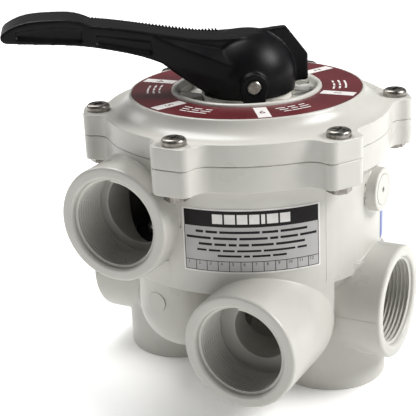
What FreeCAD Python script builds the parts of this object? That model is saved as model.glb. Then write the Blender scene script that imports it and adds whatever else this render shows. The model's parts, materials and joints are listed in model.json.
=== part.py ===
import FreeCAD, Part
import math
import os
from FreeCAD import Vector

# Six-way multiport valve. The stem axis is the Z axis, and z = 0 is the plane that the legs stand on.
# +X runs through the right-hand lower port, -Y is the side that the two front ports face. Millimetres.

os.makedirs("parts", exist_ok=True)
X, Y, Z = Vector(1, 0, 0), Vector(0, 1, 0), Vector(0, 0, 1)

# Heights of the main planes
drum_floor_underside = 66.7
drum_floor_thickness = 6.0
seam_height = 136.5
body_flange_thickness = 13.5
cover_flange_thickness = 11.0

# Drum and the lobed flange
drum_radius = 72.3
drum_wall = 6.0
flange_radius = 76.5
bolt_count = 6
bolt_circle_radius = 79.5
bolt_first_angle = 30.0
lobe_reach = 8.0
lobe_width = 22.0
lobe_corner_radius = 5.0
lobe_blend_radius = 9.0

# Threaded ports, 1-1/2 inch pipe thread, and the plain sockets under the legs
port_outer_radius = 30.4
thread_radius = 23.7
thread_depth = 26.0
thread_mouth_chamfer = 1.2
rim_chamfer = 1.0
waterway_radius = 19.0
socket_radius = 24.15
socket_depth = 24.0
leg_radius = 30.4
leg_offset = 46.7
leg_waterway_radius = 18.5
leg_waterway_offset = 45.0

port_reach = 87.0
lower_port_height = 46.0
upper_port_offset = 34.0
upper_port_height = 103.5
upper_barrel_end = 20.0
upper_waterway_end = 26.0
elbow_offset = 34.5
elbow_back = 43.0
elbow_waterway_radius = 15.0
elbow_riser_x = 29.0
elbow_riser_y = -35.0

# Rounded chamber beside the front elbow, its cross gallery and the plug in its core hole
chamber_x = -20.0
chamber_y = -39.0
chamber_radius = 26.0
chamber_bore_radius = 14.0
gallery_radius = 9.0
plug_boss_radius = 11.0
plug_boss_face = 46.5
plug_radius = 8.5
plug_depth = 5.0

gauge_boss_radius = 11.5
gauge_boss_reach = 5.0
gauge_boss_height = 108.0
gauge_plug_radius = 8.0
gauge_plug_depth = 4.0
gauge_plug_dimple_radius = 1.5

# Cover
cover_spigot_depth = 10.5
cover_spigot_wall = 6.0
cover_spigot_gap = 0.4
cover_ceiling_thickness = 7.0
label_seat_height = 155.4
label_outer_radius = 61.3
label_inner_radius = 40.3
label_thickness = 0.6
label_side_gap = 0.15
cover_shoulder_radius = 62.6
cover_foot_radius = 74.5
rim_inner_radius = 37.0
rim_height = 157.4
ledge_height = 153.6
notch_inner_radius = 24.2
notch_width = 17.0
notch_depth = 3.2
well_floor_height = 151.0
hub_tube_wall = 6.0
hub_tube_depth = 22.0
cover_rib_count = 6
cover_rib_thickness = 3.0
cover_rib_height = 9.0
position_count = 6
dial_angle = 5.0
rim_edge_chamfer = 0.8
ceiling_haunch = 6.0

# Running and assembly clearances
running_gap = 0.08
face_gap = 0.1
seat_gap = 0.3

# Seals
flange_ring_section = 2.0
flange_ring_radius = 69.3
gasket_height = 2.4
gasket_rib_width = 5.0
gasket_rim_radius = 64.5
stem_ring_section = 1.2
stem_ring_heights = (133.5, 141.0)

# Rotor, stem and spring
rotor_radius = 62.0
rotor_plate = 5.0
rotor_hub_radius = 16.0
rotor_seat_radius = 26.0
rotor_hub_height = 28.0
rotor_seat_thickness = 4.0
rotor_bridge_span = 112.0
rotor_bridge_height = 24.0
rotor_bridge_wall = 3.5
rotor_window_span = 44.0
rotor_window_inner = 24.0
rotor_window_outer = 57.0
rotor_rib_thickness = 3.5
rotor_rib_height = 15.0
rotor_rib_angles = (-75, 75, 115, 150, 210, 245)
stem_radius = 11.0
stem_top_height = 172.5
stem_foot_plate = 6.0
stem_top_fillet = 4.0
cross_pin_radius = 2.5
cross_pin_height = 92.0
spring_wire_radius = 1.5
spring_mean_radius = 21.6
spring_turns = 5.5
spring_washer_thickness = 1.2
spring_washer_outer = 25.5

# Lever: measured along itself from the stem axis (s) and by height
lever_angle = 215.0
lever_width = 25.0
lever_length = 126.0
heel_length = 33.0
pin_height = 162.4
pin_radius = 3.5
pin_half_length = 28.6
pin_end_chamfer = 0.6
hub_radius = 25.8
hub_bottom_height = 155.0
hub_shoulder_height = 164.0
hub_top_height = 186.2
hub_wall = 3.8
hub_crown_radius = 10.0
heel_thickness = 6.0
pin_boss_radius = 7.2
pin_boss_reach = 28.0
tab_half_width = 5.8
tab_bottom_height = 153.95
tab_inner_radius = 25.0
lever_wall = 3.2
pocket_depth = 1.3
grip_start = 84.0

# Side outlines of the lever, as distance along it and height
arm_top_curve = [(6.0, 185.6), (24.0, 186.2), (50.0, 191.0), (grip_start - 4.0, 196.3)]
grip_top_curve = [(grip_start - 4.0, 196.3), (grip_start + 3.0, 199.4), (grip_start + 16.0, 200.8),
                  (lever_length - 10.0, 199.6), (lever_length - 2.0, 196.0)]
tip_curve = [(lever_length - 2.0, 196.0), (lever_length, 192.8), (lever_length - 2.0, 190.2)]
under_curve = [(lever_length - 2.0, 190.2), (lever_length - 22.0, 188.2), (grip_start, 186.0),
               (grip_start - 14.0, 183.0), (grip_start - 32.0, 177.6), (38.0, 171.4), (24.0, 166.8)]
beam_root_height = 158.4
heel_outline = [(0.0, 160.0), (-22.0, 157.5), (-heel_length, 158.5), (-heel_length, 172.5), (-21.6, 187.8),
                (-6.0, 186.6), (0.0, 184.0)]
channel_outline = [(12.0, hub_bottom_height), (12.0, 182.6), (22.0, 182.6), (50.0, 187.2),
                   (grip_start - 4.0, 192.4), (grip_start + 6.0, 195.6), (lever_length - 12.0, 195.6),
                   (lever_length - 5.0, 193.4), (lever_length - 5.0, 180.0), (60.0, 170.0),
                   (40.0, hub_bottom_height)]
arm_panel = [(30.0, 172.5), (52.0, 180.6), (grip_start - 6.0, 186.6), (grip_start - 6.0, 191.6),
             (52.0, 186.8), (30.0, 182.2)]
grip_panel = [(grip_start + 1.0, 188.4), (lever_length - 22.0, 190.4), (lever_length - 8.0, 192.2),
              (lever_length - 8.0, 196.0), (grip_start + 14.0, 197.2), (grip_start + 1.0, 195.4)]

# Wear ring between the lever hub and the cover
wear_ring_outer = 23.9
wear_ring_inner = 11.6

# Fasteners, 1/4 inch
screw_radius = 3.175
screw_hole_radius = 3.4
screw_head_radius = 6.25
screw_head_height = 3.6
nut_across_flats = 11.1
nut_height = 5.5
nut_recess = 2.0
nut_pocket_gap = 0.2
screw_tail = 1.2
screw_slot_half_width = 0.65
screw_slot_reach = 3.4
screw_slot_depth = 1.8

# Labels
front_label_start = -91.3
front_label_end = -35.0
front_label_bottom = 79.2
front_label_top = 113.2
side_label_start = 9.6
side_label_end = 48.0
side_label_bottom = 75.5
side_label_top = 90.5
sheet_thickness = 0.25

# Worked out from the sizes above
drum_floor = drum_floor_underside + drum_floor_thickness
drum_inner_radius = drum_radius - drum_wall
cover_top = seam_height + cover_flange_thickness
body_flange_bottom = seam_height - body_flange_thickness
cover_ceiling = label_seat_height - cover_ceiling_thickness
stem_bore_radius = stem_radius + running_gap
hub_tube_radius = stem_bore_radius + hub_tube_wall
hub_tube_bottom = well_floor_height - hub_tube_depth
gasket_top = drum_floor + gasket_height
rotor_bottom = gasket_top + face_gap
rotor_hub_top = rotor_bottom + rotor_hub_height
stem_ring_radius = stem_radius - stem_ring_section + running_gap / 2
lever_half_width = lever_width / 2


def save(name, shape):
    shape = shape.removeSplitter()
    shape.exportStep("parts/" + name + ".step")
    print(name, len(shape.Solids), "solid", round(shape.Volume / 1000, 2), "cm3", shape.isValid())


def polar(radius, angle, height=0.0):
    turn = math.radians(angle)
    return Vector(radius * math.cos(turn), radius * math.sin(turn), height)


def rod(radius, start, end):
    axis = end - start
    return Part.makeCylinder(radius, axis.Length, start, axis)


def upright(radius, low, high, x=0.0, y=0.0):
    return rod(radius, Vector(x, y, low), Vector(x, y, high))


def tube(outer, inner, low, high, x=0.0, y=0.0):
    return upright(outer, low, high, x, y).cut(upright(inner, low - 1, high + 1, x, y))


def ball(radius, x, y, z):
    return Part.makeSphere(radius, Vector(x, y, z))


def sector(inner, outer, start, end, low, high):
    wedge = Part.makeCylinder(outer, high - low, Vector(0, 0, low), Z, end - start)
    wedge = wedge.cut(Part.makeCylinder(inner, high - low + 2, Vector(0, 0, low - 1)))
    return wedge.rotate(Vector(0, 0, 0), Z, start)


def box(x0, x1, y0, y1, z0, z1):
    return Part.makeBox(x1 - x0, y1 - y0, z1 - z0, Vector(x0, y0, z0))


def turned(shape, angle):
    return shape.copy().rotate(Vector(0, 0, 0), Z, angle)


def bolt_angles():
    return [bolt_first_angle + 360.0 / bolt_count * i for i in range(bolt_count)]


def upright_edges(solid, reach):
    """The solid's vertical edges at one distance from the stem axis."""
    return [e for e in solid.Edges if abs(e.tangentAt(e.FirstParameter).z) > 0.99
            and abs(math.hypot(e.CenterOfMass.x, e.CenterOfMass.y) - reach) < 0.1]


def lobed_plate(low, high):
    plate = upright(flange_radius, low, high)
    outer = bolt_circle_radius + lobe_reach
    half = lobe_width / 2
    lobes = [turned(box(flange_radius - 2 * lobe_width, outer, -half, half, low, high), a)
             for a in bolt_angles()]
    plate = plate.fuse(lobes).removeSplitter()
    corner = math.hypot(outer, half)
    plate = plate.makeFillet(lobe_blend_radius, upright_edges(plate, flange_radius))
    return plate.makeFillet(lobe_corner_radius, upright_edges(plate, corner))


def bolt_holes(low, high, radius):
    return [upright(radius, low, high, *polar(bolt_circle_radius, a)[:2]) for a in bolt_angles()]


def hexagon(across_flats, low, high, x, y, angle):
    corner = across_flats / math.sqrt(3)
    points = [Vector(x, y, low) + polar(corner, angle + 60 * i) for i in range(7)]
    return Part.Face(Part.makePolygon(points)).extrude(Vector(0, 0, high - low))


def port_bore(face, inward, waterway, waterway_end):
    """Threaded mouth, its chamfer and the waterway behind it, measured inward from the port's face."""
    mouth = Part.makeCone(thread_radius + thread_mouth_chamfer, thread_radius, thread_mouth_chamfer,
                          face, inward)
    bore = rod(thread_radius, face - inward, face + inward * thread_depth)
    return bore.fuse([mouth, rod(waterway, face, face + inward * waterway_end)])


def port_barrel(face, inward, length):
    barrel = Part.makeCylinder(port_outer_radius, length, face, inward)
    rim = [e for e in barrel.Edges if e.Closed and (e.CenterOfMass - face).Length < 0.01]
    return barrel.makeChamfer(rim_chamfer, rim)


def side_face(side):
    return Vector(side * port_reach, 0, lower_port_height)


def elbow_face(side):
    return Vector(side * elbow_offset, -side * port_reach, lower_port_height)


def upper_port():
    face = Vector(-upper_port_offset, -port_reach, upper_port_height)
    return port_barrel(face, Y, port_reach - upper_barrel_end), \
        port_bore(face, Y, waterway_radius, port_reach - upper_waterway_end)


def leg(side):
    """A standing leg with a plain socket below and a threaded port facing outward."""
    solids = [port_barrel(side_face(side), X * -side, port_reach - leg_offset),
              upright(leg_radius, 0, drum_floor, side * leg_offset)]
    cuts = [port_bore(side_face(side), X * -side, waterway_radius, port_reach - leg_waterway_offset),
            upright(socket_radius, -1, socket_depth, side * leg_offset),
            upright(leg_waterway_radius, socket_depth - 1, drum_floor + 1, side * leg_waterway_offset)]
    return solids, cuts


def elbow(side):
    """A threaded port whose waterway turns up through the drum floor."""
    face = elbow_face(side)
    back = Vector(face.x, -side * elbow_back, lower_port_height)
    neck = upright(port_outer_radius, lower_port_height, drum_floor, back.x, back.y)
    solids = [port_barrel(face, Y * side, port_reach - elbow_back), ball(port_outer_radius, *back),
              neck.common(upright(drum_radius, 0, drum_floor))]
    riser = [side * elbow_riser_x, side * elbow_riser_y]
    cuts = [port_bore(face, Y * side, elbow_waterway_radius, port_reach + elbow_riser_y),
            ball(elbow_waterway_radius, riser[0], riser[1], lower_port_height),
            upright(elbow_waterway_radius, lower_port_height, drum_floor + 1, *riser)]
    return solids, cuts


def chamber(side):
    """A round-bottomed chamber beside the elbow, joined to its riser by a gallery cored from the outside."""
    x, y, z = side * chamber_x, side * chamber_y, lower_port_height
    solids = [ball(chamber_radius, x, y, z), upright(chamber_radius, z, drum_floor, x, y)]
    boss_face = Vector(-side * plug_boss_face, y, z)
    solids.append(rod(plug_boss_radius, Vector(x, y, z), boss_face))
    cuts = [ball(chamber_bore_radius, x, y, z), upright(chamber_bore_radius, z, drum_floor + 1, x, y),
            rod(gallery_radius, boss_face + X * side, Vector(side * elbow_riser_x, y, z)),
            rod(plug_radius, boss_face - X * side, boss_face + X * side * plug_depth)]
    return solids, cuts


def gauge_boss():
    face = Vector(drum_radius + gauge_boss_reach, 0, gauge_boss_height)
    return rod(gauge_boss_radius, Vector(drum_inner_radius - 4, 0, gauge_boss_height), face), \
        rod(gauge_plug_radius, face + X, face - X * gauge_plug_depth)


def valve_body():
    drum = upright(drum_radius, drum_floor_underside, seam_height)
    barrel, bore = upper_port()
    solids = [lobed_plate(body_flange_bottom, seam_height), barrel]
    cuts = [upright(drum_inner_radius, drum_floor, seam_height + 1), bore]
    for side in (1, -1):
        for feature in (leg, elbow, chamber):
            outer, inner = feature(side)
            solids += outer
            cuts += inner
    boss, recess = gauge_boss()
    half = flange_ring_section + face_gap
    cuts += [recess, tube(flange_ring_radius + half, flange_ring_radius - half,
                          seam_height - 2 * flange_ring_section, seam_height + 1)]
    cuts += bolt_holes(body_flange_bottom - 1, seam_height + 1, screw_hole_radius)
    for angle in bolt_angles():
        centre = polar(bolt_circle_radius, angle)
        cuts.append(hexagon(nut_across_flats + 2 * nut_pocket_gap, body_flange_bottom - 1,
                            body_flange_bottom + nut_recess, centre.x, centre.y, angle))
    for solid in solids + [boss]:
        drum = drum.fuse(solid)
    drum = drum.removeSplitter()
    for cut in cuts:
        drum = drum.cut(cut)
    return drum


def cover():
    spigot = drum_inner_radius - cover_spigot_gap
    spigot_inner = spigot - cover_spigot_wall
    spigot_bottom = seam_height - cover_spigot_depth
    slope_middle = (cover_shoulder_radius * 0.62 + cover_foot_radius * 0.38,
                    label_seat_height * 0.3 + cover_top * 0.7)
    shoulder = label_seat_height + label_thickness
    seat_outer, seat_inner = label_outer_radius + label_side_gap, label_inner_radius - label_side_gap
    profile = [
        (stem_bore_radius, hub_tube_bottom), (hub_tube_radius, hub_tube_bottom),
        (hub_tube_radius, cover_ceiling),
        (spigot_inner - ceiling_haunch, cover_ceiling), (spigot_inner, cover_ceiling - ceiling_haunch),
        (spigot_inner, spigot_bottom),
        (spigot, spigot_bottom), (spigot, seam_height), (cover_foot_radius, seam_height),
        (cover_foot_radius, cover_top), slope_middle, (cover_shoulder_radius, shoulder),
        (seat_outer, shoulder), (seat_outer, label_seat_height), (seat_inner, label_seat_height),
        (seat_inner, rim_height - rim_edge_chamfer), (seat_inner - rim_edge_chamfer, rim_height),
        (rim_inner_radius + rim_edge_chamfer, rim_height), (rim_inner_radius, rim_height - rim_edge_chamfer),
        (rim_inner_radius - 0.6, ledge_height), (notch_inner_radius, ledge_height),
        (notch_inner_radius, well_floor_height), (stem_bore_radius, well_floor_height)]
    edges = []
    for i in range(len(profile)):
        start, end = profile[i], profile[(i + 1) % len(profile)]
        if end == slope_middle:
            after = profile[i + 2]
            edges.append(Part.Arc(Vector(start[0], 0, start[1]), Vector(end[0], 0, end[1]),
                                  Vector(after[0], 0, after[1])).toShape())
        elif start != slope_middle:
            edges.append(Part.makeLine(Vector(start[0], 0, start[1]), Vector(end[0], 0, end[1])))
    dome = Part.Face(Part.Wire(edges)).revolve(Vector(0, 0, 0), Z, 360)
    flange = lobed_plate(seam_height, cover_top).cut(upright(spigot, seam_height - 1, cover_top + 1))
    rib = box(spring_washer_outer + 2, spigot_inner + 1, -cover_rib_thickness / 2, cover_rib_thickness / 2,
              cover_ceiling - cover_rib_height, cover_ceiling + 1)
    ribs = [turned(rib, 360.0 / cover_rib_count * i) for i in range(cover_rib_count)]
    solid = dome.fuse([flange] + ribs)
    notches = [turned(notch(), dial_angle + 360.0 / position_count * i) for i in range(position_count)]
    seats = bolt_holes(cover_top, label_seat_height, screw_head_radius + seat_gap)
    return solid.cut(notches + seats + bolt_holes(seam_height - 1, cover_top + 1, screw_hole_radius))


def notch():
    """One of the six detent notches in the ledge, wider at the top than at its floor."""
    half, floor = notch_width / 2, ledge_height - notch_depth
    slant = notch_depth * 0.7
    inner, outer = notch_inner_radius - 2, rim_inner_radius - 1.6
    points = [Vector(inner, -half - slant, ledge_height + 1), Vector(inner, -half + slant * 0.3, floor),
              Vector(inner, half - slant * 0.3, floor), Vector(inner, half + slant, ledge_height + 1)]
    face = Part.Face(Part.makePolygon(points + points[:1]))
    return face.extrude(Vector(outer - inner, 0, 0))


def label_ring():
    return tube(label_outer_radius, label_inner_radius, label_seat_height,
                label_seat_height + label_thickness)


def curved_sheet(start, end, low, high):
    return sector(drum_radius, drum_radius + sheet_thickness, start, end, low, high)


def flange_ring():
    return Part.makeTorus(flange_ring_radius, flange_ring_section,
                          Vector(0, 0, seam_height - flange_ring_section))


def spider_gasket():
    """Rubber gasket on the drum floor: a rim, a middle ring and ribs between the waterways."""
    rim = tube(gasket_rim_radius, gasket_rim_radius - gasket_rib_width, drum_floor, gasket_top)
    middle = tube(stem_radius + gasket_rib_width + 4, stem_radius + 2, drum_floor, gasket_top)
    ribs = [turned(box(stem_radius + 5, gasket_rim_radius - 2, -gasket_rib_width / 2, gasket_rib_width / 2,
                       drum_floor, gasket_top), a) for a in gasket_rib_angles()]
    return rim.fuse([middle] + ribs)


def gasket_rib_angles():
    front = math.degrees(math.atan2(elbow_riser_y, elbow_riser_x))
    chamber = math.degrees(math.atan2(chamber_y, chamber_x))
    half = [front / 2, (front + chamber) / 2, (chamber - 180) / 2]
    return half + [a + 180 for a in half]


def rotor():
    plate = upright(rotor_radius, rotor_bottom, rotor_bottom + rotor_plate)
    hub = upright(rotor_hub_radius, rotor_bottom, rotor_hub_top)
    seat = upright(rotor_seat_radius, rotor_hub_top - rotor_seat_thickness, rotor_hub_top)
    top = rotor_bottom + rotor_bridge_height
    half = rotor_bridge_span / 2
    inner = rotor_hub_radius + 3
    half_window = rotor_window_span / 2
    bridge = sector(inner, rotor_radius, -half, half, rotor_bottom, top)
    edge = math.degrees(rotor_bridge_wall / (inner + rotor_bridge_wall) * 0.9)
    hollow = sector(inner + rotor_bridge_wall, rotor_radius - rotor_bridge_wall, -half + edge, half - edge,
                    rotor_bottom - 1, top - rotor_bridge_wall)
    window = sector(rotor_window_inner, rotor_window_outer, 180 - half_window, 180 + half_window,
                    rotor_bottom - 1, rotor_bottom + rotor_plate + 1)
    rib = box(rotor_hub_radius - 2, rotor_radius - 4, -rotor_rib_thickness / 2, rotor_rib_thickness / 2,
              rotor_bottom + 1, rotor_bottom + rotor_rib_height)
    ribs = [turned(rib, angle) for angle in rotor_rib_angles]
    solid = plate.fuse([hub, seat, bridge] + ribs)
    stem_hole = upright(stem_radius, rotor_bottom + stem_foot_plate, rotor_hub_top + 1)
    cross = rod(cross_pin_radius, Vector(0, -rotor_hub_radius - 1, cross_pin_height),
                Vector(0, rotor_hub_radius + 1, cross_pin_height))
    return turned(solid.cut([hollow, window, stem_hole, cross]), lever_angle - 180)


def stem():
    shaft = upright(stem_radius, rotor_bottom + stem_foot_plate, stem_top_height)
    top = [e for e in shaft.Edges if e.Closed and abs(e.CenterOfMass.z - stem_top_height) < 0.01]
    shaft = shaft.makeFillet(stem_top_fillet, top)
    groove_half = stem_ring_section + seat_gap
    groove_floor = stem_ring_radius - stem_ring_section - running_gap / 2
    cuts = [tube(stem_radius + 1, groove_floor, z - groove_half, z + groove_half) for z in stem_ring_heights]
    cuts.append(rod(pin_radius + running_gap, Vector(0, -20, pin_height), Vector(0, 20, pin_height)))
    cuts.append(rod(cross_pin_radius, Vector(0, -20, cross_pin_height), Vector(0, 20, cross_pin_height)))
    return turned(shaft.cut(cuts), lever_angle)


def stem_rings():
    return Part.makeCompound([Part.makeTorus(stem_ring_radius, stem_ring_section, Vector(0, 0, z))
                              for z in stem_ring_heights])


def cross_pin():
    reach = rotor_hub_radius - 0.5
    pin = rod(cross_pin_radius, Vector(0, -reach, cross_pin_height), Vector(0, reach, cross_pin_height))
    return turned(pin, lever_angle)


def lower_washer():
    return tube(spring_washer_outer, stem_radius + 0.5, rotor_hub_top,
                rotor_hub_top + spring_washer_thickness)


def upper_washer():
    return tube(spring_washer_outer, hub_tube_radius + seat_gap,
                cover_ceiling - spring_washer_thickness, cover_ceiling)


def spring():
    low = rotor_hub_top + spring_washer_thickness + spring_wire_radius + face_gap
    high = cover_ceiling - spring_washer_thickness - spring_wire_radius - face_gap
    helix = Part.makeHelix((high - low) / spring_turns, high - low, spring_mean_radius)
    section = Part.Wire(Part.makeCircle(spring_wire_radius, Vector(spring_mean_radius, 0, 0), Y))
    coil = Part.Wire(helix.Edges).makePipeShell([section], True, True)
    coil.translate(Vector(0, 0, low))
    return coil


def wear_ring():
    return tube(wear_ring_outer, wear_ring_inner, well_floor_height + face_gap,
                hub_bottom_height - seat_gap)


def curve(points):
    line = Part.BSplineCurve()
    line.interpolate([Vector(s, 0, z) for s, z in points])
    return line.toShape()


def side_plate(edges, thickness):
    face = Part.Face(Part.Wire(edges))
    return face.extrude(Vector(0, thickness, 0)).translate(Vector(0, -thickness / 2, 0))


def straight(points):
    return [Part.makeLine(Vector(a[0], 0, a[1]), Vector(b[0], 0, b[1])) for a, b in zip(points, points[1:])]


def lever_beam():
    """Rising arm with a thicker grip at its end."""
    curves = [curve(points) for points in (arm_top_curve, grip_top_curve, tip_curve, under_curve)]
    back = [under_curve[-1], (20, beam_root_height), (0, beam_root_height), (0, arm_top_curve[0][1]),
            arm_top_curve[0]]
    return side_plate(curves + straight(back), lever_width)


def heel():
    """Flat cut-cornered web behind the hub dome."""
    return side_plate(straight(heel_outline + heel_outline[:1]), heel_thickness)


def hub_dome(offset, low):
    """Dome over the stem: upright wall, then a round shoulder up to a flat crown."""
    radius, top = hub_radius - offset, hub_top_height - offset
    middle = (radius * 0.85, hub_shoulder_height + (top - hub_shoulder_height) * 0.56)
    edges = [Part.makeLine(Vector(0, 0, low), Vector(radius, 0, low)),
             Part.makeLine(Vector(radius, 0, low), Vector(radius, 0, hub_shoulder_height)),
             Part.Arc(Vector(radius, 0, hub_shoulder_height), Vector(middle[0], 0, middle[1]),
                      Vector(hub_crown_radius, 0, top)).toShape(),
             Part.makeLine(Vector(hub_crown_radius, 0, top), Vector(0, 0, top)),
             Part.makeLine(Vector(0, 0, top), Vector(0, 0, low))]
    return Part.Face(Part.Wire(edges)).revolve(Vector(0, 0, 0), Z, 360)


def lever():
    solid = lever_beam().fuse([hub_dome(0, hub_bottom_height), heel()])
    inside = hub_dome(hub_wall, hub_bottom_height - 1)
    solid = solid.cut([inside, lever_channel()] + side_pockets())
    bosses, bores = [], []
    for side in (1, -1):
        inner, outer = stem_radius + seat_gap, pin_boss_reach
        bosses.append(rod(pin_boss_radius, Vector(0, side * inner, pin_height),
                          Vector(0, side * outer, pin_height)))
        low, high = sorted((side * tab_inner_radius, side * outer))
        bosses.append(box(-tab_half_width, tab_half_width, low, high, tab_bottom_height, pin_height))
    solid = solid.fuse(bosses)
    bore = rod(pin_radius, Vector(0, -40, pin_height), Vector(0, 40, pin_height))
    return turned(solid.cut(bore), lever_angle)


def lever_channel():
    """The arm is a channel, open underneath, from the hub to the end of the grip."""
    return side_plate(straight(channel_outline + channel_outline[:1]), lever_width - 2 * lever_wall)


def side_pockets():
    """Shallow panels in both sides of the arm, with a rib between the grip and the rest."""
    cuts = []
    for outline in (arm_panel, grip_panel):
        for side in (1, -1):
            panel = side_plate(straight(outline + outline[:1]), 2 * pocket_depth)
            cuts.append(panel.translate(Vector(0, side * lever_half_width, 0)))
    return cuts


def lever_pin():
    pin = rod(pin_radius, Vector(0, -pin_half_length, pin_height), Vector(0, pin_half_length, pin_height))
    ends = [e for e in pin.Edges if e.Closed]
    return turned(pin.makeChamfer(pin_end_chamfer, ends), lever_angle)


def screw(centre):
    low = body_flange_bottom + nut_recess - nut_height - screw_tail
    shank = upright(screw_radius, low, cover_top, centre.x, centre.y)
    head = upright(screw_head_radius, cover_top, cover_top + screw_head_height, centre.x, centre.y)
    top = cover_top + screw_head_height
    rim = [e for e in head.Edges if e.Closed and abs(e.CenterOfMass.z - top) < 0.01]
    head = head.makeFillet(screw_head_height * 0.55, rim)
    cross = [box(centre.x - along, centre.x + along, centre.y - across, centre.y + across,
                 top - screw_slot_depth, top + 1)
             for along, across in ((screw_slot_reach, screw_slot_half_width),
                                   (screw_slot_half_width, screw_slot_reach))]
    return shank.fuse(head).cut(cross)


def nut(centre, angle):
    low = body_flange_bottom + nut_recess - nut_height
    solid = hexagon(nut_across_flats, low, low + nut_height, centre.x, centre.y, angle)
    return solid.cut(upright(screw_radius, low - 1, low + nut_height + 1, centre.x, centre.y))


def fasteners():
    centres = [(polar(bolt_circle_radius, a), a) for a in bolt_angles()]
    save("cover_screws", Part.makeCompound([screw(c) for c, a in centres]))
    save("cover_nuts", Part.makeCompound([nut(c, a) for c, a in centres]))


def gallery_plug(side):
    face = Vector(-side * plug_boss_face, side * chamber_y, lower_port_height)
    return rod(plug_radius, face, face + X * side * plug_depth)


def gauge_plug():
    face = drum_radius + gauge_boss_reach
    plug = rod(gauge_plug_radius, Vector(face - gauge_plug_depth, 0, gauge_boss_height),
               Vector(face, 0, gauge_boss_height))
    dimple = rod(gauge_plug_dimple_radius, Vector(face - 1.5, 0, gauge_boss_height),
                 Vector(face + 1, 0, gauge_boss_height))
    return plug.cut(dimple)


save("valve_body", valve_body())
save("cover", cover())
save("flange_ring", flange_ring())
save("dial_label", label_ring())
save("front_label", curved_sheet(front_label_start, front_label_end, front_label_bottom, front_label_top))
save("side_label", curved_sheet(side_label_start, side_label_end, side_label_bottom, side_label_top))
save("spider_gasket", spider_gasket())
save("gallery_plug_front", gallery_plug(1))
save("gallery_plug_back", gallery_plug(-1))
save("gauge_plug", gauge_plug())
fasteners()
save("rotor", rotor())
save("stem", stem())
save("stem_rings", stem_rings())
save("cross_pin", cross_pin())
save("spring_washer_lower", lower_washer())
save("spring_washer_upper", upper_washer())
save("spring", spring())
save("wear_ring", wear_ring())
save("lever", lever())
save("lever_pin", lever_pin())
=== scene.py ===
import bpy
import bmesh
import json
import math
from mathutils import Matrix, Vector

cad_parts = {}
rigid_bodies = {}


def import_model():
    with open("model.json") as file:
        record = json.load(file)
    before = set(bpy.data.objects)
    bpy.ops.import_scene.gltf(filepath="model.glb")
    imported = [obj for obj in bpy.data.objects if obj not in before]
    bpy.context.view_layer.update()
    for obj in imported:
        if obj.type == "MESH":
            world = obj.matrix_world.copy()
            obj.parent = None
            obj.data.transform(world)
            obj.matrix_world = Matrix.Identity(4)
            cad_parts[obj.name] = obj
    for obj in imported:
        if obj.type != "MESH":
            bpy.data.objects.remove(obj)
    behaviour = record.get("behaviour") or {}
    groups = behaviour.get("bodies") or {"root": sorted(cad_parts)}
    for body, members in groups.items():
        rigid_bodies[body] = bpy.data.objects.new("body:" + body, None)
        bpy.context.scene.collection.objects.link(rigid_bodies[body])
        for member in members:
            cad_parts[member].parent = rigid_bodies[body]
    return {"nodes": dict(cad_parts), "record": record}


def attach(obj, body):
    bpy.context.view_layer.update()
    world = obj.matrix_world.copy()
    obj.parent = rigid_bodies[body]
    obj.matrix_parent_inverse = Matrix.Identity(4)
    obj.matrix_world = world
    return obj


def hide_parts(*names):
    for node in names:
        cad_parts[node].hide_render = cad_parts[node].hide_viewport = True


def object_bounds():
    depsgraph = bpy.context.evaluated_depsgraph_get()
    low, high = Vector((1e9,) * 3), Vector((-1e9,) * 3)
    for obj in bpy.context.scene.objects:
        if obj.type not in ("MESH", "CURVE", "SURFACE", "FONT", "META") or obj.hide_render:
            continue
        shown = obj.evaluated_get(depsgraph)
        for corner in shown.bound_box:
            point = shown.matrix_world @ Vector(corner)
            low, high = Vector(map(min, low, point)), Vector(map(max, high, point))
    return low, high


for leftover in list(bpy.data.objects):
    bpy.data.objects.remove(leftover, do_unlink=True)
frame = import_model()
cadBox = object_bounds()
nodes = frame["nodes"]
mm = 0.001
print("frame loaded")


# small helpers

def linearColour(hexColour):
    # sRGB hex to the linear values that Blender works in
    channels = [int(hexColour[i:i + 2], 16) / 255 for i in (1, 3, 5)]
    return [c / 12.92 if c <= 0.04045 else ((c + 0.055) / 1.055) ** 2.4 for c in channels] + [1.0]


def addNode(tree, kind, inputs=None, **settings):
    made = tree.nodes.new(kind)
    for name, value in settings.items():
        setattr(made, name, value)
    for name, value in (inputs or {}).items():
        if isinstance(value, bpy.types.NodeSocket):
            tree.links.new(value, made.inputs[name])
        else:
            made.inputs[name].default_value = value
    return made


def polarPoint(radius, degrees, height=0.0):
    turn = math.radians(degrees)
    return Vector((radius * math.cos(turn), radius * math.sin(turn), height))


def pieceFromBmesh(bm, name, material, body="root", smooth=True):
    mesh = bpy.data.meshes.new(name)
    bm.to_mesh(mesh)
    bm.free()
    for face in mesh.polygons:
        face.use_smooth = smooth
    piece = bpy.data.objects.new(name, mesh)
    bpy.context.scene.collection.objects.link(piece)
    mesh.materials.append(material)
    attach(piece, body)
    return piece


# materials

# where the slow noise starts and stops turning one shade into the other
driftLow, driftHigh = 0.3, 0.7


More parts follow.
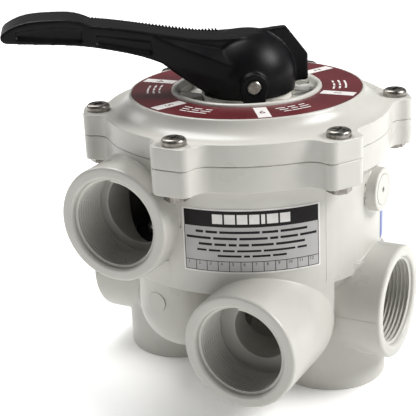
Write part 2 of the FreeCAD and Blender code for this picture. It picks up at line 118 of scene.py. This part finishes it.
def plasticMaterial(name, recipe):
    # slow colour drift, a fine moulded or cast grain in the bump, and a roughness that follows the drift
    material = bpy.data.materials.new(name)
    material.use_nodes = True
    tree = material.node_tree
    tree.nodes.clear()
    place = addNode(tree, "ShaderNodeTexCoord")
    drift = addNode(tree, "ShaderNodeTexNoise", {
        "Vector": place.outputs["Object"], "Scale": 1 / (recipe["driftSize"] * mm), "Detail": 3.0})
    grain = addNode(tree, "ShaderNodeTexNoise", {
        "Vector": place.outputs["Object"], "Scale": 1 / (recipe["grainSize"] * mm), "Detail": 2.0})
    colour = addNode(tree, "ShaderNodeValToRGB", {"Fac": drift.outputs["Fac"]})
    shades = ((driftLow, "dark"), (driftHigh, "light"))
    for element, (position, shade) in zip(colour.color_ramp.elements, shades):
        element.position = position
        element.color = linearColour(recipe[shade])
    smoothest, roughest = recipe["roughness"]
    rough = addNode(tree, "ShaderNodeMapRange", {
        "Value": drift.outputs["Fac"], "From Min": driftLow, "From Max": driftHigh,
        "To Min": smoothest, "To Max": roughest})
    bump = addNode(tree, "ShaderNodeBump", {
        "Height": grain.outputs["Fac"], "Strength": recipe["grainStrength"],
        "Distance": recipe["grainDepth"] * mm})
    shader = addNode(tree, "ShaderNodeBsdfPrincipled", {
        "Base Color": colour.outputs["Color"], "Roughness": rough.outputs["Result"],
        "Normal": bump.outputs["Normal"], "Metallic": recipe.get("metallic", 0.0),
        "IOR": recipe.get("ior", 1.5), "Coat Weight": recipe.get("coat", 0.0),
        "Coat Roughness": recipe.get("coatRoughness", 0.1)})
    addNode(tree, "ShaderNodeOutputMaterial", {"Surface": shader.outputs["BSDF"]})
    return material


# Injection moulded ABS: satin, with a faint warm drift; shaded down to stand out from a white floor
whiteAbs = plasticMaterial("mouldedWhiteAbs", {
    "dark": "#bfbdb6", "light": "#c8c6bf", "driftSize": 28, "grainSize": 1.1, "grainStrength": 0.12,
    "grainDepth": 0.05, "roughness": (0.27, 0.36), "ior": 1.53})
# Glass-filled nylon: near black, soft gloss, the fibres show as a fine grain
blackNylon = plasticMaterial("glassFilledBlackNylon", {
    "dark": "#08080a", "light": "#0f0f11", "driftSize": 14, "grainSize": 0.5, "grainStrength": 0.22,
    "grainDepth": 0.05, "roughness": (0.34, 0.44), "ior": 1.25})
# Stainless steel fastener: headed and tumbled, so its gloss is broken up
stainless = plasticMaterial("tumbledStainlessSteel", {
    "dark": "#6f6b65", "light": "#a6a29b", "driftSize": 2.5, "grainSize": 0.4, "grainStrength": 0.35,
    "grainDepth": 0.05, "roughness": (0.26, 0.44), "metallic": 1.0})
# Drawn spring wire: greyer and finer
springSteel = plasticMaterial("drawnSpringWire", {
    "dark": "#5c5d60", "light": "#86878b", "driftSize": 3, "grainSize": 0.3, "grainStrength": 0.2,
    "grainDepth": 0.03, "roughness": (0.25, 0.38), "metallic": 1.0})
# Printed polyester film: flat red ink under a thin gloss
redFilm = plasticMaterial("redPrintedPolyesterFilm", {
    "dark": "#56131a", "light": "#661b21", "driftSize": 20, "grainSize": 0.6, "grainStrength": 0.06,
    "grainDepth": 0.02, "roughness": (0.32, 0.42), "ior": 1.55, "coat": 0.25, "coatRoughness": 0.2})
whiteInk = plasticMaterial("whiteInkOnFilm", {
    "dark": "#d9d6d3", "light": "#e6e3e0", "driftSize": 6, "grainSize": 0.5, "grainStrength": 0.06,
    "grainDepth": 0.02, "roughness": (0.38, 0.46)})
blackInk = plasticMaterial("blackInkOnFilm", {
    "dark": "#120e0f", "light": "#1a1617", "driftSize": 8, "grainSize": 0.5, "grainStrength": 0.06,
    "grainDepth": 0.02, "roughness": (0.36, 0.44), "ior": 1.25})
greyFilm = plasticMaterial("silverGreyVinylFilm", {
    "dark": "#a6a4a3", "light": "#b2b0af", "driftSize": 15, "grainSize": 0.6, "grainStrength": 0.06,
    "grainDepth": 0.02, "roughness": (0.34, 0.42)})
blueFilm = plasticMaterial("bluePrintedVinylFilm", {
    "dark": "#4059ab", "light": "#4c67bb", "driftSize": 15, "grainSize": 0.6, "grainStrength": 0.06,
    "grainDepth": 0.02, "roughness": (0.34, 0.42)})
blackRubber = plasticMaterial("mouldedNitrileRubber", {
    "dark": "#161616", "light": "#222121", "driftSize": 9, "grainSize": 0.7, "grainStrength": 0.3,
    "grainDepth": 0.06, "roughness": (0.6, 0.75)})
greyNoryl = plasticMaterial("mouldedGreyNoryl", {
    "dark": "#4a4d51", "light": "#565a5f", "driftSize": 18, "grainSize": 0.9, "grainStrength": 0.15,
    "grainDepth": 0.05, "roughness": (0.4, 0.5)})
whiteAcetal = plasticMaterial("turnedAcetal", {
    "dark": "#dedbd3", "light": "#e8e5de", "driftSize": 10, "grainSize": 0.6, "grainStrength": 0.12,
    "grainDepth": 0.03, "roughness": (0.32, 0.42)})

finishes = {
    "white_abs": whiteAbs, "rubber": blackRubber, "dial_film": redFilm, "label_film": greyFilm,
    "blue_film": blueFilm, "stainless": stainless, "spring_steel": springSteel, "grey_noryl": greyNoryl,
    "acetal": whiteAcetal, "black_nylon": blackNylon}
for entry in frame["record"]["subparts"]:
    material = finishes[entry["material_slot"]]
    mesh = nodes[entry["node"]].data
    mesh.materials.clear()
    mesh.materials.append(material)
print("materials made")


# pipe threads in the five ports

ports = {
    "pitch": 25.4 / 11.5, "rootRadius": 23.76, "crestRadius": 22.45, "ridgeWidth": 1.7, "crestWidth": 0.4,
    "firstRidge": 2.0, "lastRidge": 24.6, "stepsPerTurn": 60, "reach": 87.0, "lowerHeight": 46.0,
    "upperHeight": 103.5, "upperOffset": -34.0, "elbowOffset": 34.5}


def portPlaces():
    reach, low = ports["reach"], ports["lowerHeight"]
    return {
        "UpperFront": (Vector((ports["upperOffset"], -reach, ports["upperHeight"])), Vector((0, 1, 0))),
        "ElbowFront": (Vector((ports["elbowOffset"], -reach, low)), Vector((0, 1, 0))),
        "ElbowBack": (Vector((-ports["elbowOffset"], reach, low)), Vector((0, -1, 0))),
        "Right": (Vector((reach, 0, low)), Vector((-1, 0, 0))),
        "Left": (Vector((-reach, 0, low)), Vector((1, 0, 0)))}


def threadRidge(name, face, inward):
    # a closed ridge carried round and inward at once, its root buried in the wall
    bm = bmesh.new()
    foot, crest = ports["ridgeWidth"] / 2, ports["crestWidth"] / 2
    across = Vector((0, 0, 1))
    profile = [(-foot, ports["rootRadius"]), (-crest, ports["crestRadius"]),
               (crest, ports["crestRadius"]), (foot, ports["rootRadius"])]
    start = face + inward * ports["firstRidge"]
    points = [bm.verts.new((start + inward * along + across * radius) * mm) for along, radius in profile]
    edges = [bm.edges.new((a, b)) for a, b in zip(points, points[1:] + points[:1])]
    turns = (ports["lastRidge"] - ports["firstRidge"]) / ports["pitch"]
    steps = round(turns * ports["stepsPerTurn"])
    bmesh.ops.spin(bm, geom=points + edges, cent=start * mm, axis=inward,
                   dvec=inward * (ports["pitch"] * turns / steps * mm), angle=math.tau * turns, steps=steps,
                   use_merge=False)
    bmesh.ops.holes_fill(bm, edges=[edge for edge in bm.edges if edge.is_boundary], sides=4)
    bmesh.ops.recalc_face_normals(bm, faces=bm.faces)
    return pieceFromBmesh(bm, name, whiteAbs, smooth=False)


for portName, (face, inward) in portPlaces().items():
    threadRidge("portThread" + portName, face, inward)
print("threads cut")


# body and cover with the rounded edges that moulding leaves

moulded = {
    "copies": (("valve_body", "mouldedBody", 0.7), ("cover", "mouldedCover", 0.55)),
    "sharpAbove": 32, "roomNeeded": 1.5, "weldWithin": 0.002, "flatWithin": 0.4, "normalWeight": 80}


def roomBeside(edge):
    # how far the narrower of an edge's two faces reaches from it
    start, end = (vert.co for vert in edge.verts)
    line = (end - start).normalized()
    return min(max((vert.co - start).cross(line).length for vert in face.verts) for face in edge.link_faces)


def roundedCopy(node, name, rounding):
    bm = bmesh.new()
    bm.from_mesh(nodes[node].data)
    bmesh.ops.remove_doubles(bm, verts=bm.verts, dist=moulded["weldWithin"] * mm)
    bmesh.ops.dissolve_limit(bm, angle_limit=math.radians(moulded["flatWithin"]), verts=bm.verts,
                             edges=bm.edges)
    sharp = [edge for edge in bm.edges if len(edge.link_faces) == 2
             and edge.calc_face_angle() > math.radians(moulded["sharpAbove"])
             and roomBeside(edge) > moulded["roomNeeded"] * rounding * mm]
    bmesh.ops.bevel(bm, geom=sharp, offset=rounding * mm, offset_type="OFFSET", segments=2, profile=0.5,
                    affect="EDGES", clamp_overlap=False, material=-1, loop_slide=True)
    bmesh.ops.triangulate(bm, faces=[face for face in bm.faces if len(face.verts) > 4])
    piece = pieceFromBmesh(bm, name, whiteAbs)
    weighted = piece.modifiers.new("weighted", "WEIGHTED_NORMAL")
    weighted.weight = moulded["normalWeight"]
    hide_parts(node)
    print(name, len(piece.data.polygons), "faces")


for node, name, rounding in moulded["copies"]:
    roundedCopy(node, name, rounding)


# mould parting lines

parting = {
    "radius": 0.15, "segments": 10, "drumAngle": -32.0, "drumRadius": 72.3, "drumLow": 69.0,
    "drumHigh": 122.8, "barrelRadius": 30.4, "barrelStart": 48.0, "barrelEnd": 85.6}


def stubAlong(direction, middle, radius, length, segments):
    # a closed round bar in the frame, its upper end towards the direction
    bm = bmesh.new()
    bmesh.ops.create_cone(bm, cap_ends=True, segments=segments, radius1=radius * mm, radius2=radius * mm,
                          depth=length * mm)
    turn = direction.to_track_quat("Z", "Y").to_matrix().to_4x4()
    return bm, Matrix.Translation(middle * mm) @ turn


def partingBead(name, start, end):
    along = end - start
    bm, place = stubAlong(along, (start + end) / 2, parting["radius"], along.length, parting["segments"])
    bmesh.ops.transform(bm, matrix=place, verts=bm.verts)
    pieceFromBmesh(bm, name, whiteAbs, smooth=False)


seam = polarPoint(parting["drumRadius"], parting["drumAngle"])
partingBead("drumPartingLine", seam + Vector((0, 0, parting["drumLow"])),
            seam + Vector((0, 0, parting["drumHigh"])))
for sideName, side in (("Right", 1), ("Left", -1)):
    for edgeName, edge in (("Front", -1), ("Back", 1)):
        start = Vector((side * parting["barrelStart"], edge * parting["barrelRadius"], ports["lowerHeight"]))
        partingBead("barrelPartingLine" + sideName + edgeName, start,
                    Vector((side * parting["barrelEnd"], start.y, start.z)))


# gate mark on the leg tower under the upper port

gateMark = {
    "middle": Vector((-24.35, -64.62, 53.2)), "outward": Vector((-0.16, -0.987, 0)), "radius": 5.6,
    "below": 1.0, "above": 0.3, "edge": 0.2, "segments": 48}


def addGateMark():
    below, above = gateMark["below"], gateMark["above"]
    middle = gateMark["middle"] + gateMark["outward"] * (above - below) / 2
    bm, place = stubAlong(gateMark["outward"], middle, gateMark["radius"], below + above,
                          gateMark["segments"])
    rim = [edge for edge in bm.edges if all(vert.co.z > 0 for vert in edge.verts)]
    bmesh.ops.bevel(bm, geom=rim, offset=gateMark["edge"] * mm, offset_type="OFFSET", segments=2, profile=0.5,
                    affect="EDGES", material=-1)
    bmesh.ops.transform(bm, matrix=place, verts=bm.verts)
    pieceFromBmesh(bm, "towerGateMark", whiteAbs, smooth=False)


addGateMark()
print("body and cover moulded")


# printed marks: flat shapes, drawn in millimetres and then laid on their label

def slab(width, height, columns=1):
    bm = bmesh.new()
    bmesh.ops.create_grid(bm, x_segments=columns, y_segments=1, size=0.5)
    bmesh.ops.scale(bm, vec=Vector((width, height, 1)), verts=bm.verts)
    return bm


def digits(text, size):
    curve = bpy.data.curves.new("digits", "FONT")
    curve.body = text
    curve.size = size
    curve.align_x = "CENTER"
    curve.align_y = "CENTER"
    holder = bpy.data.objects.new("digits", curve)
    bpy.context.scene.collection.objects.link(holder)
    mesh = bpy.data.meshes.new_from_object(holder.evaluated_get(bpy.context.evaluated_depsgraph_get()))
    bpy.data.objects.remove(holder)
    bm = bmesh.new()
    bm.from_mesh(mesh)
    bpy.data.meshes.remove(mesh)
    return bm


def addInto(target, source, matrix):
    bmesh.ops.transform(source, matrix=matrix, verts=source.verts)
    mesh = bpy.data.meshes.new("part")
    source.to_mesh(mesh)
    source.free()
    target.from_mesh(mesh)
    bpy.data.meshes.remove(mesh)


def thicken(bm, thickness):
    bmesh.ops.recalc_face_normals(bm, faces=bm.faces)
    bmesh.ops.solidify(bm, geom=bm.faces[:], thickness=thickness)
    bmesh.ops.recalc_face_normals(bm, faces=bm.faces)


# dial: numbered bars and small marks between them

dial = {
    "positions": 6, "firstAngle": 5.0, "top": 156.0, "inkThickness": 0.04, "inkLift": 0.01, "digitLift": 0.07,
    "barMiddle": 50.8, "barLength": 18.0, "barWidth": 6.6, "digitSize": 6.4, "rowRadii": (46.5, 49.6, 52.7),
    "rowDegrees": 8.0, "rowHeight": 1.0, "rowOffset": 20.0, "words": 3, "ringOffset": 38.0,
    "ringRadius": 4.3, "ringLine": 0.55, "ringSegments": 40}


def onDial(radius, degrees, lift):
    place = Matrix.Translation(polarPoint(radius, degrees, dial["top"] + lift) * mm)
    return place @ Matrix.Rotation(math.radians(degrees), 4, "Z") @ Matrix.Scale(mm, 4)


bars, numbers, marks = bmesh.new(), bmesh.new(), bmesh.new()
for position in range(dial["positions"]):
    angle = dial["firstAngle"] + 360 / dial["positions"] * position
    addInto(bars, slab(dial["barLength"], dial["barWidth"]),
            onDial(dial["barMiddle"], angle, dial["inkLift"]))
    upright = Matrix.Rotation(math.radians(90), 4, "Z")
    addInto(numbers, digits(str(position + 1), dial["digitSize"]),
            onDial(dial["barMiddle"], angle, dial["digitLift"]) @ upright)
    for rowIndex, radius in enumerate(dial["rowRadii"]):
        for word in range(dial["words"]):
            step = dial["rowDegrees"] * (word - 1) * (0.95 - 0.1 * rowIndex)
            length = math.radians(dial["rowDegrees"]) * radius * (0.8 - 0.12 * ((word + rowIndex) % 3))
            place = onDial(radius, angle + dial["rowOffset"] + step, dial["inkLift"])
            addInto(marks, slab(dial["rowHeight"], length), place)
    ring = bmesh.new()
    bmesh.ops.create_circle(ring, cap_ends=True, cap_tris=False, segments=dial["ringSegments"],
                            radius=dial["ringRadius"])
    bmesh.ops.inset_region(ring, faces=ring.faces[:], thickness=dial["ringLine"], use_even_offset=True)
    inner = min(ring.faces, key=lambda face: face.calc_center_median().length + len(face.verts) * -1)
    bmesh.ops.delete(ring, geom=[inner], context="FACES_ONLY")
    addInto(marks, ring, onDial(dial["barMiddle"], angle + dial["ringOffset"], dial["inkLift"]))
dialPrints = ((bars, "dialBars", whiteInk), (marks, "dialMarks", whiteInk), (numbers, "dialNumbers", redFilm))
for bm, name, ink in dialPrints:
    thicken(bm, dial["inkThickness"] * mm)
    pieceFromBmesh(bm, name, ink, smooth=False)
print("dial printed")


# front label: band, ruled bars in place of words, and a row of numbered boxes

sticker = {
    "radius": 72.57, "start": -91.3, "end": -35.0, "low": 79.2, "margin": 1.1, "line": 0.32,
    "bandLow": 103.9, "bandHigh": 112.4, "rowTop": 85.6, "boxes": 12, "inkThickness": 0.03,
    "digitSize": 2.3, "digitHeight": 84.2, "digitShare": 0.32, "wordGap": 1.2, "barShare": 0.75,
    "blockHeight": 5.0, "blocks": (5.2, 5.4, 5.2, 5.0, 1.9, 5.6, 5.2), "blockGap": 0.9,
    "rows": ((101.2, 1.7, (4, 6, 20, 8, 14)), (97.9, 1.7, (13, 12, 14, 4, 9, 9)),
             (94.6, 1.7, (7, 6, 4, 5, 11, 15)), (91.4, 1.45, (5, 6, 6, 12, 16, 5)),
             (88.6, 1.45, (12, 3, 9, 7)))}
stickerWidth = math.radians(sticker["end"] - sticker["start"]) * sticker["radius"]


def wrapOnDrum(bm, lift, name, ink):
    thicken(bm, sticker["inkThickness"])
    middle = math.radians((sticker["start"] + sticker["end"]) / 2)
    for vert in bm.verts:
        radius = sticker["radius"] + lift + vert.co.z
        turn = middle + vert.co.x / sticker["radius"]
        vert.co = Vector((radius * math.cos(turn), radius * math.sin(turn), vert.co.y)) * mm
    bmesh.ops.recalc_face_normals(bm, faces=bm.faces)
    pieceFromBmesh(bm, name, ink, smooth=False)


def put(target, width, height, x, z):
    addInto(target, slab(width, height, max(2, round(width))), Matrix.Translation((x, z, 0)))


innerWidth = stickerWidth - 2 * sticker["margin"]
left = -innerWidth / 2
panel, dark, light = bmesh.new(), bmesh.new(), bmesh.new()
panelLow = sticker["low"] + sticker["margin"]
put(panel, innerWidth, sticker["bandLow"] - panelLow, 0, (sticker["bandLow"] + panelLow) / 2)
bandHeight = sticker["bandHigh"] - sticker["bandLow"]
bandMiddle = (sticker["bandHigh"] + sticker["bandLow"]) / 2
put(dark, innerWidth, bandHeight, 0, bandMiddle)
for height in (panelLow, sticker["rowTop"]):
    put(dark, innerWidth, sticker["line"], 0, height)
boxWidth = innerWidth / sticker["boxes"]
for box in range(sticker["boxes"] + 1):
    top = sticker["bandLow"] if box in (0, sticker["boxes"]) else sticker["rowTop"]
    put(dark, sticker["line"], top - panelLow, left + boxWidth * box, (top + panelLow) / 2)
for box in range(sticker["boxes"]):
    along = left + boxWidth * (box + sticker["digitShare"])
    addInto(dark, digits(str(box + 1), sticker["digitSize"]),
            Matrix.Translation((along, sticker["digitHeight"], 0)))
for height, thick, words in sticker["rows"]:
    x = -(sum(words) + sticker["wordGap"] * (len(words) - 1)) / 2
    for word in words:
        put(dark, word, thick * sticker["barShare"], x + word / 2, height)
        x += word + sticker["wordGap"]
x = -(sum(sticker["blocks"]) + sticker["blockGap"] * (len(sticker["blocks"]) - 1)) / 2
for block in sticker["blocks"]:
    put(light, block, sticker["blockHeight"], x + block / 2, bandMiddle)
    x += block + sticker["blockGap"]
wrapOnDrum(panel, 0.0, "labelPanel", greyFilm)
wrapOnDrum(dark, 0.05, "labelDarkInk", blackInk)
wrapOnDrum(light, 0.1, "labelLightInk", whiteInk)
nodes["front_label"].data.materials[0] = whiteInk
print("labels printed")


# lever: arm, dome and web flow into one moulding

leverShape = {
    "angle": 215.0, "weldWithin": 0.002, "voxel": 0.72, "smoothing": 6, "softening": 0.5,
    "flare": ((50, 12.3, 179), (50, 12.3, 189.5), (30, 12.5, 184), (12.5, 18.6, 176), (0, 24.6, 169),
              (0, 25.5, 158.5), (24, 17, 158.5), (40, 12.5, 170), (0, 8, 158.5), (0, 8, 180), (30, 8, 165)),
    "teeth": 42, "firstTooth": 14.0, "toothPitch": 1.75, "toothRadius": 0.5,
    "toothLength": 2.6, "toothSide": -11.0, "toothSunk": 0.15,
    "topCurve": ((6, 185.6), (24, 186.2), (50, 191.0), (80, 196.3))}
leverTurn = Matrix.Rotation(math.radians(leverShape["angle"]), 4, "Z") @ Matrix.Scale(mm, 4)


def leverTop(along):
    points = leverShape["topCurve"]
    for (s0, z0), (s1, z1) in zip(points, points[1:]):
        if along <= s1:
            return z0 + (z1 - z0) * (along - s0) / (s1 - s0)
    return points[-1][1]


leverBm = bmesh.new()
leverBm.from_mesh(nodes["lever"].data)
bmesh.ops.remove_doubles(leverBm, verts=leverBm.verts, dist=leverShape["weldWithin"] * mm)
for side in (1, -1):
    flare = bmesh.new()
    for s, y, z in leverShape["flare"]:
        flare.verts.new((s, side * y, z))
    hull = bmesh.ops.convex_hull(flare, input=flare.verts)
    inside = hull["geom_interior"] + hull["geom_unused"]
    spare = {item for item in inside if isinstance(item, bmesh.types.BMVert)}
    bmesh.ops.delete(flare, geom=list(spare), context="VERTS")
    bmesh.ops.recalc_face_normals(flare, faces=flare.faces)
    addInto(leverBm, flare, leverTurn)
leverPiece = pieceFromBmesh(leverBm, "mouldedLever", blackNylon, body="lever")
remesh = leverPiece.modifiers.new("blend", "REMESH")
remesh.mode = "VOXEL"
remesh.voxel_size = leverShape["voxel"] * mm
remesh.use_smooth_shade = True
soften = leverPiece.modifiers.new("soften", "SMOOTH")
soften.factor = leverShape["softening"]
soften.iterations = leverShape["smoothing"]
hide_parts("lever")
teeth = bmesh.new()
for tooth in range(leverShape["teeth"]):
    along = leverShape["firstTooth"] + leverShape["toothPitch"] * tooth
    ridge = bmesh.new()
    bmesh.ops.create_cone(ridge, cap_ends=True, segments=8, radius1=leverShape["toothRadius"],
                          radius2=leverShape["toothRadius"], depth=leverShape["toothLength"])
    lay = Matrix.Translation((along, leverShape["toothSide"], leverTop(along) - leverShape["toothSunk"]))
    addInto(teeth, ridge, leverTurn @ lay @ Matrix.Rotation(math.radians(90), 4, "X"))
pieceFromBmesh(teeth, "leverGripTeeth", blackNylon, body="lever", smooth=False)
print("lever moulded")


# camera, light and floor

view = {
    "target": Vector((-20.5, -11.3, 88.1)), "back": Vector((0.4524, -0.8202, 0.3502)), "distance": 649.96,
    "roll": -2.57, "lens": 101.66, "sensor": 36.0}


def addCamera():
    back = view["back"].normalized()
    right = Vector((0, 0, 1)).cross(back).normalized()
    up = back.cross(right)
    roll = math.radians(view["roll"])
    across = right * math.cos(roll) + up * math.sin(roll)
    upward = up * math.cos(roll) - right * math.sin(roll)
    data = bpy.data.cameras.new("camera")
    data.lens = view["lens"]
    data.sensor_width = view["sensor"]
    data.clip_start = 0.01
    data.clip_end = 50
    camera = bpy.data.objects.new("camera", data)
    turn = Matrix((across, upward, back)).transposed().to_4x4()
    camera.matrix_world = Matrix.Translation((view["target"] + back * view["distance"]) * mm) @ turn
    bpy.context.scene.collection.objects.link(camera)
    bpy.context.scene.camera = camera


def addSoftbox(name, place, aim, size, power):
    data = bpy.data.lights.new(name, "AREA")
    data.shape = "DISK"
    data.size = size
    data.energy = power
    light = bpy.data.objects.new(name, data)
    direction = Vector(aim) - Vector(place)
    light.matrix_world = Matrix.Translation(place) @ direction.to_track_quat("-Z", "Y").to_matrix().to_4x4()
    bpy.context.scene.collection.objects.link(light)


studio = {
    "floorSize": 60.0, "worldColour": "#ffffff", "worldStrength": 0.14,
    "key": ((1.0, 0.3, 0.95), (0, 0, 0.1), 0.6, 18.0),
    "fill": ((-0.55, 0.2, 1.3), (0, 0, 0.1), 0.8, 13.0),
    "rim": ((-1.1, 0.15, 0.75), (0, 0, 0.12), 0.6, 4.0),
    "glowNear": 0.12, "glowFar": 0.85, "glowReach": 1.6}
bpy.context.scene.view_settings.view_transform = "Standard"

addCamera()
for lightName in ("key", "fill", "rim"):
    addSoftbox(lightName, *studio[lightName])
world = bpy.data.worlds.new("studio")
bpy.context.scene.world = world
world.use_nodes = True
sky = world.node_tree.nodes["Background"]
sky.inputs["Color"].default_value = linearColour(studio["worldColour"])
sky.inputs["Strength"].default_value = studio["worldStrength"]

floorBm = bmesh.new()
bmesh.ops.create_grid(floorBm, x_segments=1, y_segments=1, size=studio["floorSize"] / 2)
floorMesh = bpy.data.meshes.new("floor")
floorBm.to_mesh(floorMesh)
floorBm.free()
floor = bpy.data.objects.new("floor", floorMesh)
bpy.context.scene.collection.objects.link(floor)
floor.location.z = cadBox[0][2]
# Matt white studio floor, lit from within more strongly away from the valve
floorPaint = plasticMaterial("paleStudioFloor", {
    "dark": "#fafaf9", "light": "#fdfdfc", "driftSize": 400, "grainSize": 3, "grainStrength": 0.05,
    "grainDepth": 0.1, "roughness": (0.7, 0.8)})
floorMesh.materials.append(floorPaint)


def addGlow(tree):
    place = addNode(tree, "ShaderNodeTexCoord")
    fromMiddle = addNode(tree, "ShaderNodeVectorMath", {0: place.outputs["Object"]}, operation="LENGTH")
    glow = addNode(tree, "ShaderNodeMapRange", {
        "Value": fromMiddle.outputs["Value"], "From Max": studio["glowReach"],
        "To Min": studio["glowNear"], "To Max": studio["glowFar"]})
    shader = next(item for item in tree.nodes if item.type == "BSDF_PRINCIPLED")
    shader.inputs["Emission Color"].default_value = linearColour(studio["worldColour"])
    tree.links.new(glow.outputs["Result"], shader.inputs["Emission Strength"])


addGlow(floorPaint.node_tree)
print("studio set")
